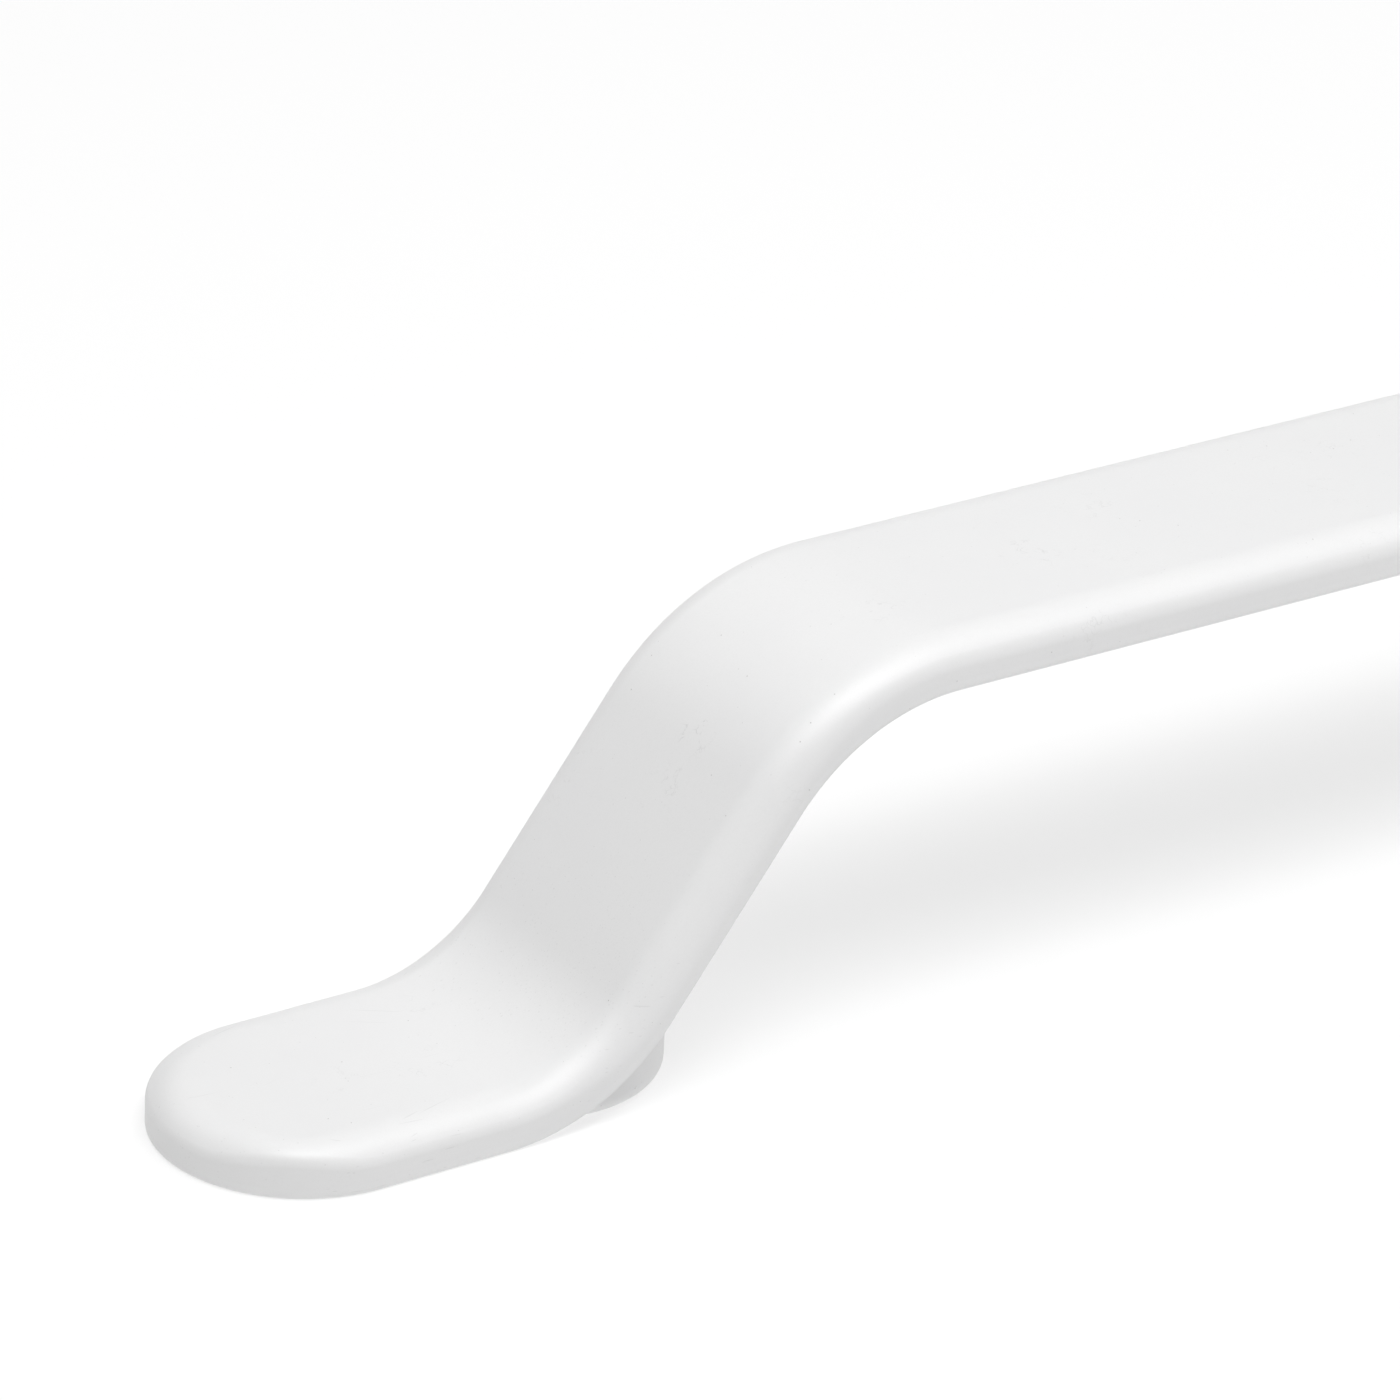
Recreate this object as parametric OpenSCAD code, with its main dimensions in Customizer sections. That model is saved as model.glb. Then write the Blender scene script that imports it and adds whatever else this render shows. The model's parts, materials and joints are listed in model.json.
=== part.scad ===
// Strap handle, moulded in one piece, with a threaded insert in each foot.
// It stands on the XY plane with its length along X. The origin is midway
// between the two screw axes, on the plane that it is screwed to.

/* [Size] */
// Distance between the two screw axes
hole_spacing = 128; // [116:4:192]
// Width of the strap
strap_w = 22; // [21:0.5:26]
// Thickness of the strap
strap_t = 4; // [4:0.5:6]
// Clear height under the grip, for the fingers
grip_clearance = 27.5; // [25:0.5:34]

/* [Bends] */
// Radius of each lower bend, on the strap's top surface
low_bend_r = 13; // [11:0.5:14]
// Radius of each upper bend, on the strap's top surface
high_bend_r = 21; // [16:0.5:22]

/* [Edges] */
// Rounding of the edges of the strap's top surface
top_edge_r = 2.8; // [1.5:0.1:3]
// Rounding of the edges of the strap's underside
low_edge_r = 0.4; // [0.2:0.1:0.6]

/* [Feet] */
// Distance from the centre of a tab's round end to its screw axis
foot_inset = 19.5; // [19:0.25:20]
// Radius of each round foot
foot_r = 9.7; // [9.4:0.1:10]
// Rounding of the foot's rim, where it meets the mounting plane
foot_edge_r = 1.2; // [0.6:0.1:1.4]
// Thickness of the foot's outer wall
foot_wall = 2.2; // [1.8:0.1:2.5]
// Radius of the boss around the insert
boss_r = 4.6; // [4.3:0.1:5]
// Thickness of the ribs between the boss and the foot's wall
rib_t = 1.5; // [1.2:0.1:2]

/* [Inserts] */
// Length of each insert
insert_l = 4; // [3.5:0.1:4.2]
// Radius over the knurled bands
insert_r = 2.8; // [2.7:0.05:3]
// Radius in the groove between the two bands
groove_r = 2.45; // [2.3:0.05:2.6]
// Length of the groove
groove_l = 1; // [0.8:0.1:1.4]
// Radius of the bore at the crests of its M4 thread
thread_r = 1.65; // [1.6:0.01:1.7]
// Radius of the relief for the screw's tip, above the insert
relief_r = 2.1; // [2:0.05:2.2]
// Depth of that relief
relief_l = 0.8; // [0.5:0.1:1]

/* [Hidden] */

bend_fn = 160; // facets of the bends and the tab ends in the preview
edge_fn = 48; // facets of the small roundings in the preview
over = 1; // how far a cutter runs past what it cuts

rise_angle = atan2(4, 3); // the two rises climb 4 in 3
// Distance from the centre of a tab's round end to the corner where the
// top surfaces of the tab and the rise would meet.
rise_inset = 17.25;

low_tangent = low_bend_r * tan(rise_angle / 2);
high_tangent = high_bend_r * tan(rise_angle / 2);
tab_x = hole_spacing / 2 + foot_inset; // centre of the tab's round end, out from the middle
tab_l = rise_inset - low_tangent; // from that centre to where the lower bend starts
rise_l = grip_clearance / sin(rise_angle) - low_tangent - high_tangent;
grip_l = tab_x - rise_inset - grip_clearance / tan(rise_angle) - high_tangent; // half of the grip
low_axis_z = strap_t + low_bend_r; // heights of the bends' axes above the strap's underside
high_axis_z = strap_t - high_bend_r;

// Half of the strap's section: x across the width, y up from the underside.
module half_section() {
  square([strap_w / 2 - top_edge_r, strap_t]);
  square([strap_w / 2 - low_edge_r, strap_t - top_edge_r]);
  translate([0, low_edge_r]) square([strap_w / 2, strap_t - top_edge_r - low_edge_r]);
  translate([strap_w / 2 - top_edge_r, strap_t - top_edge_r])
    intersection() {
      circle(top_edge_r, $fn = edge_fn);
      square(top_edge_r);
    }
  translate([strap_w / 2 - low_edge_r, low_edge_r]) circle(low_edge_r, $fn = edge_fn);
}

module section() {
  half_section();
  mirror([1, 0]) half_section();
}

// The strap is laid out as a walk along +X, with its underside on Z = 0. Each
// piece puts its children where it ends.
module straight(l) {
  rotate([90, 0, 90]) linear_extrude(l) section();
  translate([l, 0, 0]) children();
}

// Rather more than half of a bend, from its start. A bend whose axis is at a
// height axis_z above zero climbs, and one whose axis is below falls.
module part_bend(axis_z) {
  way = sign(axis_z);
  translate([0, 0, axis_z]) rotate([90, 0, 0]) rotate([0, 0, -90 * way])
    rotate_extrude(angle = way * rise_angle * 0.6, $fn = bend_fn)
      translate([abs(axis_z), 0]) rotate(90 * way) section();
}

// A bend is two such parts, one from each end, which overlap in the middle.
module bend(axis_z) {
  part_bend(axis_z);
  translate([0, 0, axis_z]) rotate([0, -sign(axis_z) * rise_angle, 0]) translate([0, 0, -axis_z]) {
    mirror([1, 0, 0]) part_bend(axis_z);
    children();
  }
}

module round_end() rotate([0, 0, 90]) rotate_extrude(angle = 180, $fn = bend_fn) half_section();

// The left half of the strap, from its round end to the middle of the grip.
module half_strap()
  intersection() {
    translate([-tab_x, 0, 0]) {
      round_end();
      straight(tab_l) bend(low_axis_z) straight(rise_l) bend(high_axis_z) straight(grip_l + over);
    }
    translate([-hole_spacing, -strap_w, -strap_w])
      cube([hole_spacing, 2 * strap_w, grip_clearance + 3 * strap_w]);
  }

// The space between the mounting plane and the middle of the strap's thickness
// at the left end, seen from the side: x along the handle and y up.
module under_strap() {
  mid_r = low_bend_r + strap_t / 2;
  reach = 2 * strap_w;
  translate([tab_l - tab_x, 0])
    difference() {
      translate([-reach, 0]) square([2 * reach, low_axis_z]);
      translate([0, low_axis_z]) {
        circle(mid_r, $fn = bend_fn);
        rotate(rise_angle) translate([0, -mid_r]) square(reach);
      }
    }
}

// The foot's outer wall, turned about the screw axis.
module foot_wall_ring(h)
  rotate_extrude($fn = bend_fn) {
    translate([foot_r - foot_wall, foot_edge_r]) square([foot_wall, h - foot_edge_r]);
    translate([foot_r - foot_wall, 0]) square([foot_wall - foot_edge_r, h]);
    translate([foot_r - foot_edge_r, foot_edge_r]) circle(foot_edge_r, $fn = edge_fn);
  }

// The boss and its four ribs.
module foot_core(h)
  linear_extrude(h) {
    circle(boss_r, $fn = bend_fn);
    for (a = [45, 135])
      rotate(a) square([2 * foot_r - foot_wall, rib_t], center = true);
  }

module foot()
  intersection() {
    translate([-hole_spacing / 2, 0, 0]) {
      foot_wall_ring(low_axis_z);
      foot_core(low_axis_z);
    }
    rotate([90, 0, 0]) linear_extrude(2 * strap_w, center = true) under_strap();
  }

// The outside of an insert: two bands with a groove between them.
module insert_outside() {
  band_l = (insert_l - groove_l) / 2;
  cylinder(h = insert_l, r = groove_r, $fn = edge_fn);
  cylinder(h = band_l, r = insert_r, $fn = edge_fn);
  translate([0, 0, insert_l - band_l]) cylinder(h = band_l, r = insert_r, $fn = edge_fn);
}

// The pocket that the plastic leaves for an insert and its screw's tip.
module insert_pocket() {
  insert_outside();
  cylinder(h = insert_l + relief_l, r = relief_r, $fn = edge_fn);
}

module insert(side)
  color("goldenrod")
    translate([side * hole_spacing / 2, 0, 0])
      difference() {
        insert_outside();
        translate([0, 0, -over]) cylinder(h = insert_l + 2 * over, r = thread_r, $fn = edge_fn);
      }

module handle_moulding()
  color("white")
    difference() {
      for (flip = [0, 1])
        mirror([flip, 0, 0]) {
          half_strap();
          foot();
        }
      for (side = [-1, 1])
        translate([side * hole_spacing / 2, 0, 0]) insert_pocket();
    }

handle_moulding();
insert(-1);  // left_insert
insert(1);  // right_insert
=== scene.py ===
"""Looks of a white moulded strap handle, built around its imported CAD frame.

Lengths below are in millimetres, as in the CAD source, and MM turns them into metres.
"""

import json
import math

import bmesh
import bpy
from mathutils import Euler, Matrix, Vector

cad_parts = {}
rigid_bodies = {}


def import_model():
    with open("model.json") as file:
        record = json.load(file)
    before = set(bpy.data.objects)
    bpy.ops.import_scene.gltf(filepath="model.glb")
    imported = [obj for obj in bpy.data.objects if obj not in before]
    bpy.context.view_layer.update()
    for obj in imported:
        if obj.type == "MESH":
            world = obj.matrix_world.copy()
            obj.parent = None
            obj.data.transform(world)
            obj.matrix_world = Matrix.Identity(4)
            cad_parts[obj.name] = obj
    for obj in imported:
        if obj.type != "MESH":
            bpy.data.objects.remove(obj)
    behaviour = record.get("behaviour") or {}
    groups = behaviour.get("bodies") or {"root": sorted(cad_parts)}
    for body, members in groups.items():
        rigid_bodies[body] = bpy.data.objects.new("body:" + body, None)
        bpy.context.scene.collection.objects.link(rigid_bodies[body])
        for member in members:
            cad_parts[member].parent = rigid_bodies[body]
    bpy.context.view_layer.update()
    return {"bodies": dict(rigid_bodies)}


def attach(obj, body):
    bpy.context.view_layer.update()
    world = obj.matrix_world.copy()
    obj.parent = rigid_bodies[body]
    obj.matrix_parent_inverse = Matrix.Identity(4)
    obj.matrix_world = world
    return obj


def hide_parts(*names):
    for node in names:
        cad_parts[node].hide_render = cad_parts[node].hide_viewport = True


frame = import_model()
BODY = next(iter(frame["bodies"]))
MM = 0.001
WELD = 1e-4              # vertices closer than this are one
AXIS_R = 1e-6            # the radius of a point on the axis of a turned shape
TURN_START = 0.013       # turned shapes start off X and Y, so that their vertices miss the strap's
OVER = 1                 # how far a cutter runs past what it cuts
MOULDING_CREASE = 32     # edges that turn through more degrees than this stay crisp
INSERT_CREASE = 38

# Sizes of the moulding, as in the CAD source.
HOLE_SPACING = 128
STRAP_W = 22
STRAP_T = 4
GRIP_CLEARANCE = 27.5
LOW_BEND_R = 13
HIGH_BEND_R = 21
RISE_ANGLE = math.atan2(4, 3)
RISE_INSET = 17.25
LOW_EDGE_R = 0.4
FOOT_INSET = 19.5
FOOT_R = 9.7
FOOT_EDGE_R = 1.2
FOOT_WALL = 2.2
BOSS_R = 4.6
RIB_T = 1.5

# The edges of the strap's top, in finer detail than the CAD's single rounding and within 0.5 mm of it:
# half the width of the flat top, the radius of the arc beside it, and the angle that this arc turns through.
TAB_EDGE = (8.04, 3.5, math.radians(50))
RISE_EDGE = (8.2, 2.8, math.radians(45))
GRIP_EDGE = (8.04, 3.5, math.radians(45))
CRISP_EDGE = (9.0, 2.6, math.radians(35))    # on the near side (-Y) of the tab's round end
CRISP_AT = math.radians(35)                  # how far round from the side it is crispest: it fades both ways
# The line that the two halves of the mould leave around the side.
PARTING_Z = 0.85
PARTING_W = 0.16
PARTING_DEPTH = 0.02

# Marks that the mould leaves on the underside: the round ends of its ejector pins.
EJECTOR_R = 2.2
EJECTOR_DEPTH = 0.12
EJECTORS = ((-84.13, 0), (-28.35, GRIP_CLEARANCE), (-9.15, GRIP_CLEARANCE))      # x and height

# Sizes of the inserts.
INSERT_L = 4
INSERT_R = 2.8
GROOVE_R = 2.45
GROOVE_L = 1
THREAD_R = 1.65          # at the crests of the M4 thread
THREAD_ROOT_R = 2.0
THREAD_PITCH = 0.7
THREAD_FLAT = 0.12       # how much of half a pitch is flat at a crest, and at a root
COUNTERSINK = 0.1        # how far each mouth of the bore is wider than the thread's root
RELIEF_R = 2.1           # the room for the screw's tip, above the insert
RELIEF_L = 0.8
CHAMFER = 0.25
KNURLS = 30              # teeth around each knurled band
KNURL_DEPTH = 0.22
KNURL_STEEP = 1.6        # above 1, the grooves between the teeth have flat bottoms
KNURL_LEAN = 0.9         # how many teeth the knurling moves around for each millimetre up
SHRINK = 0.02            # the groove's gap to the plastic

TAB_X = HOLE_SPACING / 2 + FOOT_INSET
LOW_TANGENT = LOW_BEND_R * math.tan(RISE_ANGLE / 2)
HIGH_TANGENT = HIGH_BEND_R * math.tan(RISE_ANGLE / 2)
TAB_L = RISE_INSET - LOW_TANGENT
RISE_L = GRIP_CLEARANCE / math.sin(RISE_ANGLE) - LOW_TANGENT - HIGH_TANGENT
BAND_L = (INSERT_L - GROOVE_L) / 2


# ---------------------------------------------------------------- mesh helpers

def span(a, b, n):
    """n + 1 even steps from a to b."""
    return [a + (b - a) * i / n for i in range(n + 1)]


def new_object(name, bm):
    mesh = bpy.data.meshes.new(name)
    bm.to_mesh(mesh)
    bm.free()
    obj = bpy.data.objects.new(name, mesh)
    bpy.context.scene.collection.objects.link(obj)
    return obj


def close_up(bm):
    bmesh.ops.remove_doubles(bm, verts=bm.verts, dist=WELD)
    bmesh.ops.recalc_face_normals(bm, faces=bm.faces)


def grid_faces(bm, rows, wrap=False):
    """Quads between rows of vertices. With wrap, each row closes on itself."""
    for low, high in zip(rows, rows[1:]):
        n = len(low)
        for i in range(n if wrap else n - 1):
            j = (i + 1) % n
            bm.faces.new((low[i], low[j], high[j], high[i]))


def apply_modifiers(obj):
    depsgraph = bpy.context.evaluated_depsgraph_get()
    mesh = bpy.data.meshes.new_from_object(obj.evaluated_get(depsgraph))
    old = obj.data
    obj.modifiers.clear()
    obj.data = mesh
    bpy.data.meshes.remove(old)


def combine(obj, others, operation):
    """Joins or cuts obj with all the others in one step, and deletes them."""
    group = bpy.data.collections.new("combined")
    for other in others:
        group.objects.link(other)
    modifier = obj.modifiers.new("combine", "BOOLEAN")
    modifier.operation = operation
    modifier.solver = "EXACT"
    modifier.operand_type = "COLLECTION"
    modifier.collection = group
    apply_modifiers(obj)
    for other in others:
        bpy.data.objects.remove(other)
    bpy.data.collections.remove(group)


def smooth(obj, sharp_angle):
    """Smooth shading, with edges over sharp_angle kept crisp and flat faces kept flat."""
    mesh = obj.data
    mesh.polygons.foreach_set("use_smooth", [True] * len(mesh.polygons))
    mesh.set_sharp_from_angle(angle=math.radians(sharp_angle))
    modifier = obj.modifiers.new("flat faces first", "WEIGHTED_NORMAL")
    modifier.keep_sharp = True
    apply_modifiers(obj)


def turned(name, profile, centre, steps):
    """A closed profile of (radius, z) points, turned about a vertical axis.

    Where z is None, the height is that of the middle of the strap above the point.
    """
    bm = bmesh.new()
    rows = []
    for radius, z in profile + profile[:1]:
        row = []
        for a in span(TURN_START, TURN_START + 2 * math.pi, steps)[:-1]:
            x = centre[0] + radius * math.cos(a)
            y = centre[1] + radius * math.sin(a)
            row.append(bm.verts.new((x, y, mid_strap(x) if z is None else z)))
        rows.append(row)
    grid_faces(bm, rows, wrap=True)
    close_up(bm)
    return new_object(name, bm)


# ---------------------------------------------------------------- the strap

def half_outline(flat, wide_r, turn):
    """Half of the strap's section: (across, up) from the middle of the top to the middle of the bottom.

    The top edge rolls over on a wide arc, which turns through an angle of turn, and then on a tighter one.
    """
    side = STRAP_W / 2
    tight_r = (side - flat - wide_r * math.sin(turn)) / (1 - math.sin(turn))
    points = [(across, STRAP_T) for across in span(0, flat, 8)]
    for a in span(0, turn, 12)[1:]:
        points.append((flat + wide_r * math.sin(a), STRAP_T - wide_r * (1 - math.cos(a))))
    tight_z = STRAP_T - wide_r + (wide_r - tight_r) * math.cos(turn)
    for a in span(turn, math.pi / 2, 12)[1:]:
        points.append((side - tight_r * (1 - math.sin(a)), tight_z + tight_r * math.cos(a)))
    points += [
        (side, PARTING_Z + PARTING_W / 2),
        (side - PARTING_DEPTH, PARTING_Z),
        (side, PARTING_Z - PARTING_W / 2),
    ]
    for a in span(0, math.pi / 2, 5):
        points.append((side - LOW_EDGE_R * (1 - math.cos(a)), LOW_EDGE_R * (1 - math.sin(a))))
    points += [(across, 0) for across in span(side - LOW_EDGE_R, 0, 8)[1:]]
    return points


def blend(a, b, share):
    """From edge a to edge b, as share goes from 0 to 1 and eases in and out."""
    t = min(1, max(0, share))
    t = t * t * (3 - 2 * t)
    return [p + (q - p) * t for p, q in zip(a, b)]


def outline_at(z):
    """The section where the underside is at height z. The edges change over in the bends."""
    low_height = (STRAP_T + LOW_BEND_R) * (1 - math.cos(RISE_ANGLE))
    high_height = (HIGH_BEND_R - STRAP_T) * (1 - math.cos(RISE_ANGLE))
    lower = blend(TAB_EDGE, RISE_EDGE, z / low_height)
    return half_outline(*blend(lower, GRIP_EDGE, 1 - (GRIP_CLEARANCE - z) / high_height))


def end_outline(a):
    """The section of the tab's round end, at an angle from 0 on the far side to pi on the near side."""
    from_side = math.pi - a
    return half_outline(*blend(TAB_EDGE, CRISP_EDGE, 1 - abs(from_side - CRISP_AT) / CRISP_AT))


def stations():
    """x, z and slope of the strap's underside, from the centre of the left end to the middle of the grip."""
    out = []
    x, z, slope = -TAB_X, 0, 0

    def straight(length, n):
        """Adds n places, and moves on to the end."""
        nonlocal x, z
        for s in span(0, length, n)[:-1]:
            out.append((x + s * math.cos(slope), z + s * math.sin(slope), slope))
        x += length * math.cos(slope)
        z += length * math.sin(slope)

    def bend(axis_height, n):
        """The same around an axis, at a height from the underside: a climb if it is above, else a fall."""
        nonlocal x, z, slope
        way = math.copysign(1, axis_height)
        axis_x = x - axis_height * math.sin(slope)
        axis_z = z + axis_height * math.cos(slope)
        start = slope
        for slope in span(start, start + way * RISE_ANGLE, n):
            x = axis_x + axis_height * math.sin(slope)
            z = axis_z - axis_height * math.cos(slope)
            out.append((x, z, slope))
        out.pop()

    straight(TAB_L, 8)
    bend(STRAP_T + LOW_BEND_R, 32)
    straight(RISE_L, 14)
    bend(STRAP_T - HIGH_BEND_R, 40)
    straight(-x, 24)
    out.append((0, GRIP_CLEARANCE, 0))
    return out


def half_strap():
    """The left half of the strap, closed off at the middle of the grip."""
    bm = bmesh.new()
    rows = []
    for x, z, slope in stations():
        half = outline_at(z)
        loop = half + [(-y, h) for y, h in half[-2:0:-1]]
        rows.append([bm.verts.new((x - h * math.sin(slope), y, z + h * math.cos(slope))) for y, h in loop])
    grid_faces(bm, rows, wrap=True)
    bm.faces.new(rows[-1])
    rows = [      # the round end
        [bm.verts.new((-TAB_X - y * math.sin(a), y * math.cos(a), h)) for y, h in end_outline(a)]
        for a in span(0, math.pi, 72)
    ]
    grid_faces(bm, rows)
    close_up(bm)
    return new_object("handle", bm)


def mirror_half(obj):
    """Opens the closed-off end, joins the left half to its mirror image and drops faces too small to see."""
    bm = bmesh.new()
    bm.from_mesh(obj.data)
    end = [face for face in bm.faces if all(abs(vert.co.x) < WELD for vert in face.verts)]
    bmesh.ops.delete(bm, geom=end, context="FACES_ONLY")
    copy = bmesh.ops.duplicate(bm, geom=bm.verts[:] + bm.edges[:] + bm.faces[:])["geom"]
    verts = [part for part in copy if isinstance(part, bmesh.types.BMVert)]
    bmesh.ops.scale(bm, vec=(-1, 1, 1), verts=verts)
    bmesh.ops.reverse_faces(bm, faces=[part for part in copy if isinstance(part, bmesh.types.BMFace)])
    middle = [vert for vert in bm.verts if abs(vert.co.x) < WELD]
    bmesh.ops.remove_doubles(bm, verts=middle, dist=WELD)
    bmesh.ops.dissolve_degenerate(bm, dist=WELD, edges=bm.edges[:])
    bm.to_mesh(obj.data)
    bm.free()


# ---------------------------------------------------------------- the feet

def mid_strap(x):
    """Height of the middle of the strap's thickness, at x in the tab, the lower bend or the rise."""
    middle_r = LOW_BEND_R + STRAP_T / 2
    axis_z = LOW_BEND_R + STRAP_T
    past = TAB_X - TAB_L - abs(x)      # into the bend
    bend_l = middle_r * math.sin(RISE_ANGLE)
    if past <= 0:
        return axis_z - middle_r
    if past < bend_l:
        return axis_z - math.sqrt(middle_r ** 2 - past ** 2)
    return axis_z - middle_r * math.cos(RISE_ANGLE) + (past - bend_l) * math.tan(RISE_ANGLE)


def rib(angle, centre):
    """A plate through the boss, from wall to wall of the foot, and up to the middle of the strap."""
    bm = bmesh.new()
    turn = Matrix.Rotation(math.radians(angle), 3, "Z")
    reach = FOOT_R - 0.7 * FOOT_WALL      # the plate ends inside the wall
    rows = []
    for along in span(-reach, reach, 16):
        row = []
        for across, high in ((-1, False), (1, False), (1, True), (-1, True)):
            place = turn @ Vector((along, across * RIB_T / 2, 0))
            x = centre[0] + place.x
            row.append(bm.verts.new((x, centre[1] + place.y, mid_strap(x) if high else 0)))
        rows.append(row)
    grid_faces(bm, rows, wrap=True)
    bm.faces.new(rows[0])
    bm.faces.new(rows[-1])
    close_up(bm)
    return new_object("rib", bm)


def foot_parts():
    """A round wall, a boss in its middle and four ribs between them, which all run up into the strap."""
    centre = (-HOLE_SPACING / 2, 0)
    rim = [
        (FOOT_R - FOOT_EDGE_R * (1 - math.cos(a)), FOOT_EDGE_R * (1 - math.sin(a)))
        for a in span(0, math.pi / 2, 10)
    ]
    inner = FOOT_R - FOOT_WALL
    wall = [(FOOT_R, None)] + rim + [(inner, 0), (inner, None)]
    boss = [(AXIS_R, 0), (BOSS_R, 0), (BOSS_R, None), (BOSS_R / 2, None), (AXIS_R, None)]
    return [
        turned("wall", wall, centre, 160), turned("boss", boss, centre, 96),
        rib(45, centre), rib(135, centre),
    ]


def insert_pocket():
    """The room that the plastic leaves for an insert and for the tip of its screw."""
    profile = [
        (AXIS_R, -OVER), (INSERT_R, -OVER), (INSERT_R, BAND_L), (GROOVE_R, BAND_L),
        (GROOVE_R, INSERT_L - BAND_L), (INSERT_R, INSERT_L - BAND_L), (INSERT_R, INSERT_L),
        (RELIEF_R, INSERT_L), (RELIEF_R, INSERT_L + RELIEF_L), (AXIS_R, INSERT_L + RELIEF_L),
    ]
    return turned("pocket", profile, (-HOLE_SPACING / 2, 0), 96)


def ejector_mark(x, z):
    low, high = z - OVER, z + EJECTOR_DEPTH
    profile = [(AXIS_R, low), (EJECTOR_R, low), (EJECTOR_R, high), (AXIS_R, high)]
    return turned("mark", profile, (x, 0), 64)


def moulding():
    obj = half_strap()
    combine(obj, foot_parts(), "UNION")
    combine(obj, [ejector_mark(x, z) for x, z in EJECTORS] + [insert_pocket()], "DIFFERENCE")
    mirror_half(obj)
    smooth(obj, MOULDING_CREASE)
    obj.data.transform(Matrix.Scale(MM, 4))
    return obj


# ---------------------------------------------------------------- the inserts

def triangle_wave(t):
    """0 at whole numbers, 1 half way between them."""
    return 1 - abs(2 * (t % 1) - 1)


def insert_outer_radius(z, a):
    """Diamond knurling on the two bands, a smooth groove between them, and a chamfer at both ends."""
    from_end = min(z, INSERT_L - z)
    if from_end > BAND_L:
        return GROOVE_R - SHRINK
    turns = a / (2 * math.pi) * KNURLS
    tooth = min(triangle_wave(turns + z * KNURL_LEAN), triangle_wave(turns - z * KNURL_LEAN))
    knurled = INSERT_R - KNURL_DEPTH * min(1, tooth * KNURL_STEEP)
    return min(knurled, INSERT_R - CHAMFER + from_end)


def thread_radius(z, a):
    """A right-hand M4 thread with flat crests and roots, which runs out in a countersink at each mouth."""
    from_end = min(z, INSERT_L - z)
    depth = triangle_wave(z / THREAD_PITCH - a / (2 * math.pi))
    flank = min(1, max(0, (depth - THREAD_FLAT) / (1 - 2 * THREAD_FLAT)))
    radius = THREAD_R + (THREAD_ROOT_R - THREAD_R) * flank
    return max(radius, THREAD_ROOT_R + COUNTERSINK - from_end)


def insert(side):
    """One insert: side is -1 for the left foot, and 1 for the right."""
    bm = bmesh.new()
    rows = []

    def row(z, radius_at):
        verts = []
        for a in span(0, 2 * math.pi, 180)[:-1]:
            radius = radius_at(z, a)
            x = side * HOLE_SPACING / 2 + radius * math.cos(a)
            verts.append(bm.verts.new((x, radius * math.sin(a), z)))
        rows.append(verts)

    for z in span(0, INSERT_L, 48):
        row(z, insert_outer_radius)
    for z in reversed(span(0, INSERT_L, 64)):
        row(z, thread_radius)
    grid_faces(bm, rows + rows[:1], wrap=True)
    bmesh.ops.recalc_face_normals(bm, faces=bm.faces)
    obj = new_object(("left" if side < 0 else "right") + "_brass_insert", bm)
    smooth(obj, INSERT_CREASE)
    obj.data.transform(Matrix.Scale(MM, 4))
    return obj


# ---------------------------------------------------------------- materials

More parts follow.
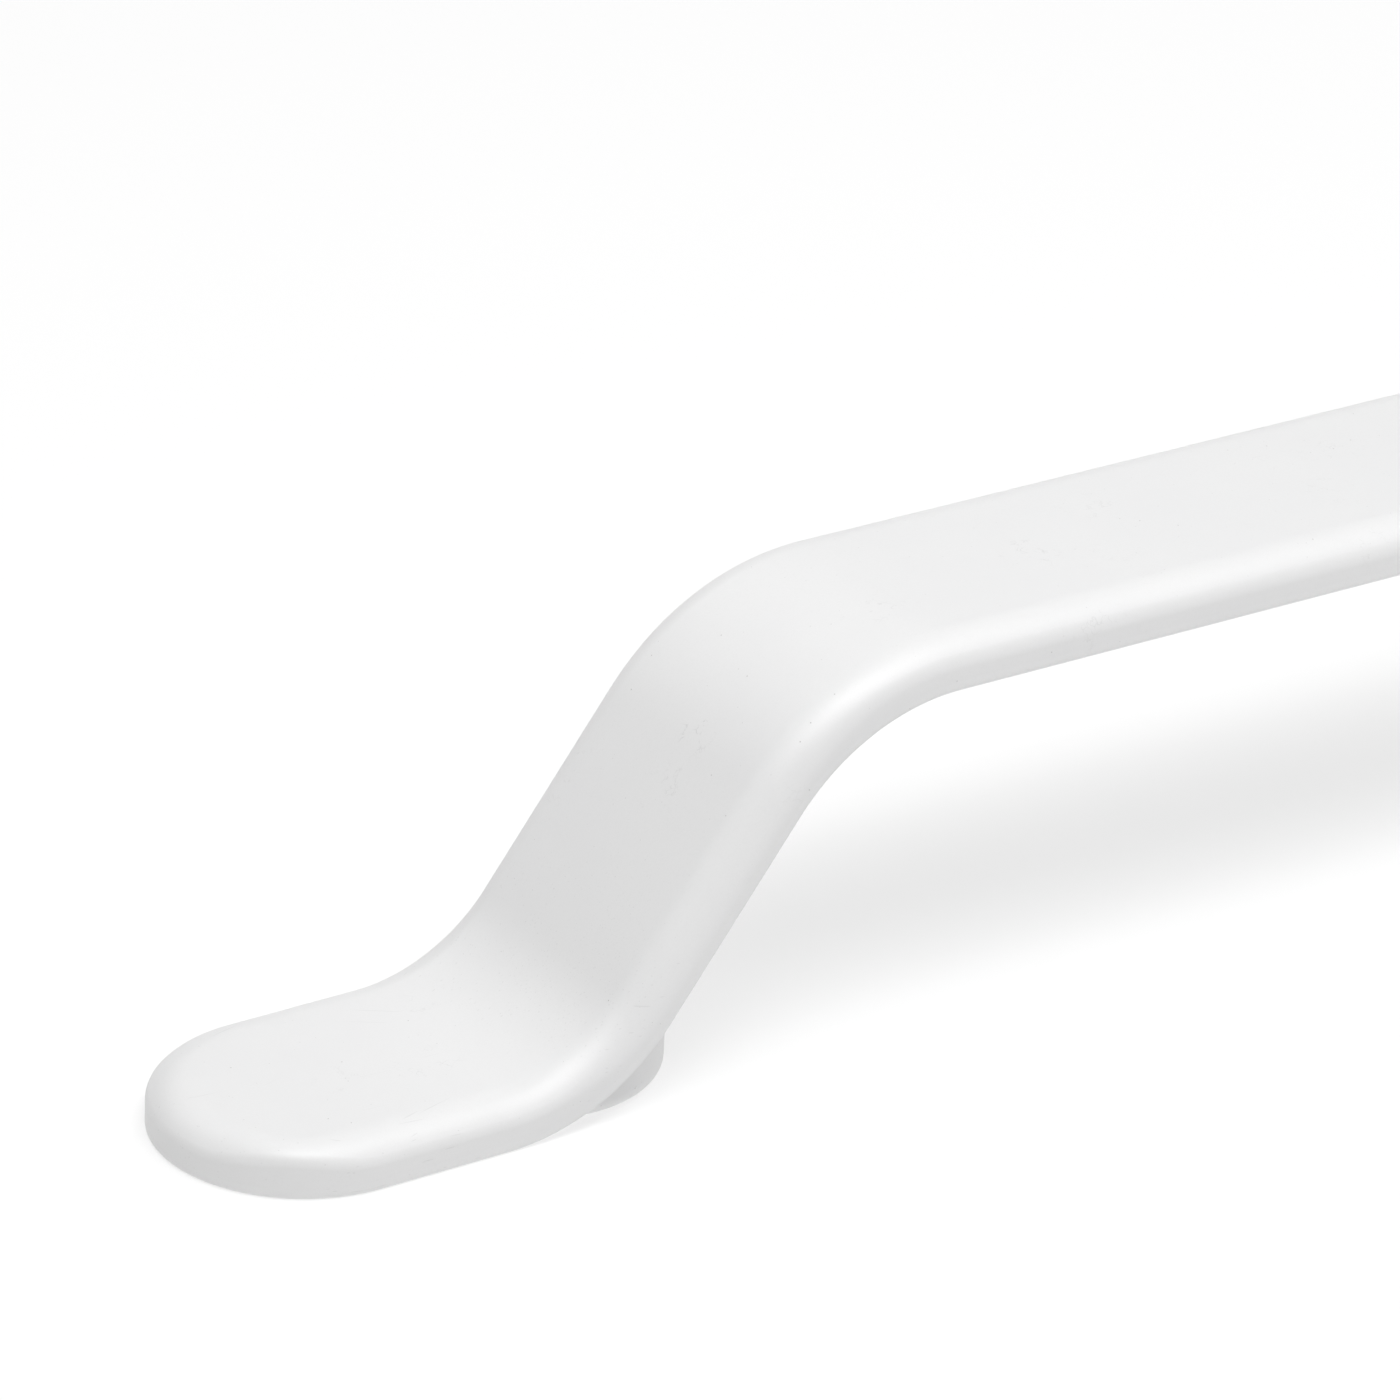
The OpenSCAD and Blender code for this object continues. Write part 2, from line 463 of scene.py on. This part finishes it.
class Nodes:
    """Short calls for building a material's node tree."""

    def __init__(self, name):
        self.material = bpy.data.materials.new(name)
        self.material.use_nodes = True
        self.tree = self.material.node_tree
        self.shader = self.tree.nodes["Principled BSDF"]

    def add(self, kind, inputs=None, **settings):
        node = self.tree.nodes.new(kind)
        for key, value in settings.items():
            setattr(node, key, value)
        for key, value in (inputs or {}).items():
            self.put(node.inputs[key], value)
        return node

    def put(self, socket, value):
        if isinstance(value, bpy.types.NodeSocket):
            self.tree.links.new(value, socket)
        else:
            socket.default_value = value

    def math(self, operation, a, b):
        return self.add("ShaderNodeMath", {0: a, 1: b}, operation=operation).outputs[0]

    def stretched(self, scale, turn=(0, 0, 0)):
        """Object coordinates, turned (degrees) and then scaled: scale is in features per metre."""
        vector = self.add("ShaderNodeTexCoord").outputs["Object"]
        if any(turn):
            angles = [math.radians(a) for a in turn]
            vector = self.add("ShaderNodeMapping", {"Vector": vector, "Rotation": angles}).outputs[0]
        return self.add("ShaderNodeMapping", {"Vector": vector, "Scale": scale}).outputs[0]

    def even(self, density, turn=(0, 0, 0)):
        """The same, with as many features per metre in each direction."""
        return self.stretched((density, density, density), turn)

    def noise(self, vector, detail):
        return self.add("ShaderNodeTexNoise", {
            "Vector": vector, "Scale": 1.0, "Detail": detail, "Roughness": 0.55,
        }).outputs["Fac"]

    def band(self, value, low, high):
        """0 below low, 1 above high, and smooth between."""
        return self.add("ShaderNodeMapRange", {
            "Value": value, "From Min": low, "From Max": high, "To Min": 0.0, "To Max": 1.0,
        }, interpolation_type="SMOOTHSTEP").outputs[0]

    def wobbled(self, vector, amount, scale):
        """The vector, pushed up to half of amount each way by a noise of that scale, in its own units."""
        cloud = self.add("ShaderNodeTexNoise", {"Vector": vector, "Scale": scale}).outputs["Color"]
        shift = self.add("ShaderNodeVectorMath", {0: cloud, 1: (0.5, 0.5, 0.5)}, operation="SUBTRACT")
        return self.add("ShaderNodeVectorMath", {
            0: shift.outputs[0], 1: (amount, amount, amount), 2: vector,
        }, operation="MULTIPLY_ADD").outputs[0]

    def flecks(self, vector, radius, share):
        """1 inside small spots, which lie in a share of the vector's unit cells, else 0.

        A stretched vector makes needles of them.
        """
        cells = self.add("ShaderNodeTexVoronoi", {"Vector": vector, "Scale": 1.0})
        spot = self.math("SUBTRACT", 1.0, self.band(cells.outputs["Distance"], radius * 0.4, radius))
        pick = self.add("ShaderNodeSeparateColor", {0: cells.outputs["Color"]}).outputs[0]
        return self.math("MULTIPLY", spot, self.math("LESS_THAN", pick, share))

    def near(self, place, radius):
        """1 at a place, in metres, fading to 0 at a radius from it."""
        coords = self.add("ShaderNodeTexCoord").outputs["Object"]
        away = self.add("ShaderNodeVectorMath", {0: coords, 1: place}, operation="DISTANCE").outputs["Value"]
        return self.math("SUBTRACT", 1.0, self.band(away, radius * 0.3, radius))

    def mix(self, factor, a, b):
        node = self.add("ShaderNodeMix", data_type="RGBA")
        self.put(node.inputs[0], factor)
        self.put(node.inputs[6], a)
        self.put(node.inputs[7], b)
        return node.outputs[2]

    def bump(self, height, distance, normal=None):
        """distance is how high, in metres, a height of 1 stands."""
        inputs = {"Height": height, "Distance": distance, "Strength": 1.0}
        if normal:
            inputs["Normal"] = normal
        return self.add("ShaderNodeBump", inputs).outputs[0]


WHITE = (0.806, 0.806, 0.806, 1)
WHITE_MOTTLED = (0.796, 0.796, 0.798, 1)
WHITE_GRAIN = (0.78, 0.78, 0.781, 1)
DIRT = (0.3, 0.29, 0.28, 1)
SCRATCHED = (0.5, 0.5, 0.5, 1)

# How many features of each kind there are in a metre.
MOTTLE = 70
GRAIN = 6500
WAVES = 45
BIG_SPECKS = 950
SMALL_SPECKS = 1400
HAIRLINES = (60, 2600, 2600)           # along the handle, across it and up
CURLS = 1300
CURL_GAPS = 700
CURL_PATCHES = 120

# The radius of each kind, in the spacing of its features, and the share of the places that have one.
BIG_SPECK = (0.07, 0.22)
SMALL_SPECK = (0.075, 0.35)
CURL_PATCH = (0.45, 0.6)
HAIRLINE_R = 0.15
HAIRLINE_LAYERS = ((5, 0.5), (-14, 0.35), (33, 0.2))      # direction in degrees, and share
CURL_R = 0.06

# How strongly each kind shows, from 0 to 1.
GRAIN_SHOWS = 0.6
SPECKS_SHOW = 0.55
SMALL_SPECKS_SHOW = 0.6                # beside the big ones
LINES_SHOW = 0.45
HAIRLINES_SHOW = 0.5                   # beside the curls
CURL_PATCHES_SHOW = 0.6                # beside the smudge

HAIRLINES_FADE = (0.008, 0.03)         # heights (m) between which the hairlines of the tabs die out
SMUDGE_AT = (-0.0513, -0.001, 0.0239)  # the middle (m) of the largest patch of curls, on the left rise
SMUDGE_R = 0.0026
WAVES_HIGH = 0.00004                   # heights and depths (m) of the relief
GRAIN_HIGH = 0.000003
LINES_DEEP = 0.000004


def specks(n):
    """Small dark specks of two sizes, the small ones fainter."""
    big = n.flecks(n.even(BIG_SPECKS), *BIG_SPECK)
    small = n.flecks(n.even(SMALL_SPECKS, (11, 7, 0)), *SMALL_SPECK)
    return n.math("MAXIMUM", big, n.math("MULTIPLY", small, SMALL_SPECKS_SHOW))


def hairlines(n):
    """Long thin scratches in three directions, on and near the tabs."""
    lines = None
    for turn, share in HAIRLINE_LAYERS:
        bent = n.wobbled(n.stretched(HAIRLINES, (0, 0, turn)), 0.8, 0.5)
        layer = n.flecks(bent, HAIRLINE_R, share)
        lines = layer if lines is None else n.math("MAXIMUM", lines, layer)
    place = n.add("ShaderNodeTexCoord").outputs["Object"]
    height = n.add("ShaderNodeSeparateXYZ", {0: place}).outputs["Z"]
    return n.math("MULTIPLY", lines, n.math("SUBTRACT", 1.0, n.band(height, *HAIRLINES_FADE)))


def curls(n):
    """Short curly scuffs in patches: the edges of bent cells, with gaps."""
    net = n.wobbled(n.even(CURLS), 1.5, 1.1)
    cells = n.add("ShaderNodeTexVoronoi", {"Vector": net, "Scale": 1.0}, feature="DISTANCE_TO_EDGE")
    curl = n.math("SUBTRACT", 1.0, n.band(cells.outputs[0], 0.0, CURL_R))
    broken = n.band(n.noise(n.even(CURL_GAPS), 2.0), 0.52, 0.62)
    patches = n.math("MULTIPLY", n.flecks(n.even(CURL_PATCHES), *CURL_PATCH), CURL_PATCHES_SHOW)
    patches = n.math("MAXIMUM", patches, n.near(SMUDGE_AT, SMUDGE_R))
    return n.math("MULTIPLY", n.math("MULTIPLY", curl, broken), patches)


def white_plastic():
    """Satin moulded ABS, lightly used: fine grain, specks of dirt, hairlines and curly scuffs."""
    n = Nodes("white satin ABS")
    mottle = n.noise(n.even(MOTTLE), 3.0)
    grain = n.noise(n.even(GRAIN), 2.0)
    waves = n.noise(n.even(WAVES), 1.0)
    lines = n.math("MAXIMUM", n.math("MULTIPLY", hairlines(n), HAIRLINES_SHOW), curls(n))

    colour = n.mix(n.band(mottle, 0.35, 0.65), WHITE, WHITE_MOTTLED)
    colour = n.mix(n.math("MULTIPLY", n.band(grain, 0.45, 0.75), GRAIN_SHOWS), colour, WHITE_GRAIN)
    colour = n.mix(n.math("MULTIPLY", lines, LINES_SHOW), colour, SCRATCHED)
    colour = n.mix(n.math("MULTIPLY", specks(n), SPECKS_SHOW), colour, DIRT)
    n.put(n.shader.inputs["Base Color"], colour)

    rough = n.math("ADD", n.math("MULTIPLY", mottle, 0.08), 0.38)
    rough = n.math("ADD", rough, n.math("MULTIPLY", lines, 0.15))
    n.put(n.shader.inputs["Roughness"], rough)
    n.shader.inputs["IOR"].default_value = 1.52

    normal = n.bump(waves, WAVES_HIGH)
    normal = n.bump(grain, GRAIN_HIGH, normal)
    normal = n.bump(n.math("SUBTRACT", 1.0, lines), LINES_DEEP, normal)
    n.put(n.shader.inputs["Normal"], normal)
    return n.material


BRASS_LIGHT = (0.78, 0.57, 0.26, 1)
BRASS_DARK = (0.62, 0.42, 0.17, 1)
BRASS_CLOUDS = 900                     # in a metre


def brass():
    """Brass, a little uneven in colour and gloss."""
    n = Nodes("turned brass")
    cloud = n.noise(n.even(BRASS_CLOUDS), 4.0)
    n.put(n.shader.inputs["Base Color"], n.mix(n.band(cloud, 0.3, 0.7), BRASS_LIGHT, BRASS_DARK))
    n.shader.inputs["Metallic"].default_value = 1.0
    n.put(n.shader.inputs["Roughness"], n.math("ADD", n.math("MULTIPLY", cloud, 0.2), 0.2))
    return n.material


# ---------------------------------------------------------------- light, floor and camera

FLOOR_GLOW = 0.66
FLOOR_PAINT = 0.33
WORLD_HIGH = 0.05        # the room above the lights' level
WORLD_LOW = 0.9          # a pale band at the horizon, and below it
WORLD_FADE = (5.5, 8)    # the heights, in degrees, that the band fades out between

# Soft boxes around the handle: compass angle from -Y towards +X, height angle (degrees), side (m) and watts.
SOFT_BOXES = {
    "top_left": (-40, 75, 0.4, 2.2),
    "top_front": (0, 68, 0.3, 1.55),
    "left": (-75, 65, 0.4, 1.3),
    "front_left": (-40, 58, 0.3, 1.0),
    "right_high": (52, 65, 0.4, 1.7),
    "right": (90, 50, 0.6, 0.75),
    "back_left": (-160, 50, 0.6, 1.0),
    "back_right": (150, 40, 0.6, 0.6),
}
BOX_DISTANCE = 0.9
FLOOR_HALF = 1.5

LENS = 204.62            # mm, on a sensor of 36 mm
SENSOR = 36
CAMERA_AT = (-0.34807, -0.42057, 0.27411)
CAMERA_TURN = (64.244, -2.416, -34.127)      # degrees


def floor_material():
    """Pale and softly glowing, so that the shadow stays faint. It is clear from below."""
    n = Nodes("pale floor")
    n.shader.inputs["Base Color"].default_value = (FLOOR_PAINT, FLOOR_PAINT, FLOOR_PAINT, 1)
    n.shader.inputs["Roughness"].default_value = 0.9
    n.shader.inputs["Specular IOR Level"].default_value = 0.0
    n.shader.inputs["Emission Color"].default_value = (1, 1, 1, 1)
    n.shader.inputs["Emission Strength"].default_value = FLOOR_GLOW
    below = n.add("ShaderNodeNewGeometry").outputs["Backfacing"]
    clear = n.add("ShaderNodeBsdfTransparent").outputs[0]
    shade = n.add("ShaderNodeMixShader", {0: below, 1: n.shader.outputs[0], 2: clear})
    n.put(n.tree.nodes["Material Output"].inputs["Surface"], shade.outputs[0])
    return n.material


def floor():
    bm = bmesh.new()
    bmesh.ops.create_grid(bm, x_segments=1, y_segments=1, size=FLOOR_HALF)
    obj = new_object("floor", bm)
    obj.data.materials.append(floor_material())


def soft_box(name, compass, height, size, watts):
    data = bpy.data.lights.new(name, "AREA")
    data.shape = "SQUARE"
    data.size = size
    data.energy = watts
    obj = bpy.data.objects.new(name, data)
    compass, height = math.radians(compass), math.radians(height)
    way = Vector((
        math.sin(compass) * math.cos(height), -math.cos(compass) * math.cos(height), math.sin(height)
    ))
    obj.location = way * BOX_DISTANCE
    obj.rotation_euler = way.to_track_quat("Z", "Y").to_euler()
    bpy.context.scene.collection.objects.link(obj)


def world_light():
    """Dim above, with a pale band at the horizon for views from the side."""
    world = bpy.data.worlds.new("studio")
    world.use_nodes = True
    tree = world.node_tree
    coords = tree.nodes.new("ShaderNodeTexCoord")
    split = tree.nodes.new("ShaderNodeSeparateXYZ")
    fade = tree.nodes.new("ShaderNodeMapRange")
    fade.interpolation_type = "SMOOTHSTEP"
    fade.inputs["From Min"].default_value = math.sin(math.radians(WORLD_FADE[0]))
    fade.inputs["From Max"].default_value = math.sin(math.radians(WORLD_FADE[1]))
    fade.inputs["To Min"].default_value = WORLD_LOW
    fade.inputs["To Max"].default_value = WORLD_HIGH
    tree.links.new(coords.outputs["Generated"], split.inputs[0])
    tree.links.new(split.outputs["Z"], fade.inputs["Value"])
    tree.links.new(fade.outputs[0], tree.nodes["Background"].inputs["Strength"])
    tree.nodes["Background"].inputs["Color"].default_value = (1, 1, 1, 1)
    bpy.context.scene.world = world


def camera():
    data = bpy.data.cameras.new("camera")
    data.sensor_width = SENSOR
    data.lens = LENS
    data.clip_start = 0.05
    obj = bpy.data.objects.new("camera", data)
    obj.location = CAMERA_AT
    obj.rotation_euler = Euler([math.radians(a) for a in CAMERA_TURN], "XYZ")
    bpy.context.scene.collection.objects.link(obj)
    bpy.context.scene.camera = obj


# ---------------------------------------------------------------- the scene

camera()
world_light()
for name, settings in SOFT_BOXES.items():
    soft_box(name, *settings)
floor()

handle = moulding()
handle.data.materials.append(white_plastic())
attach(handle, BODY)
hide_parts("handle_moulding")

brass_material = brass()
for side, node in ((-1, "left_insert"), (1, "right_insert")):
    piece = insert(side)
    piece.data.materials.append(brass_material)
    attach(piece, BODY)
    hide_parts(node)

bpy.context.scene.view_settings.view_transform = "Standard"
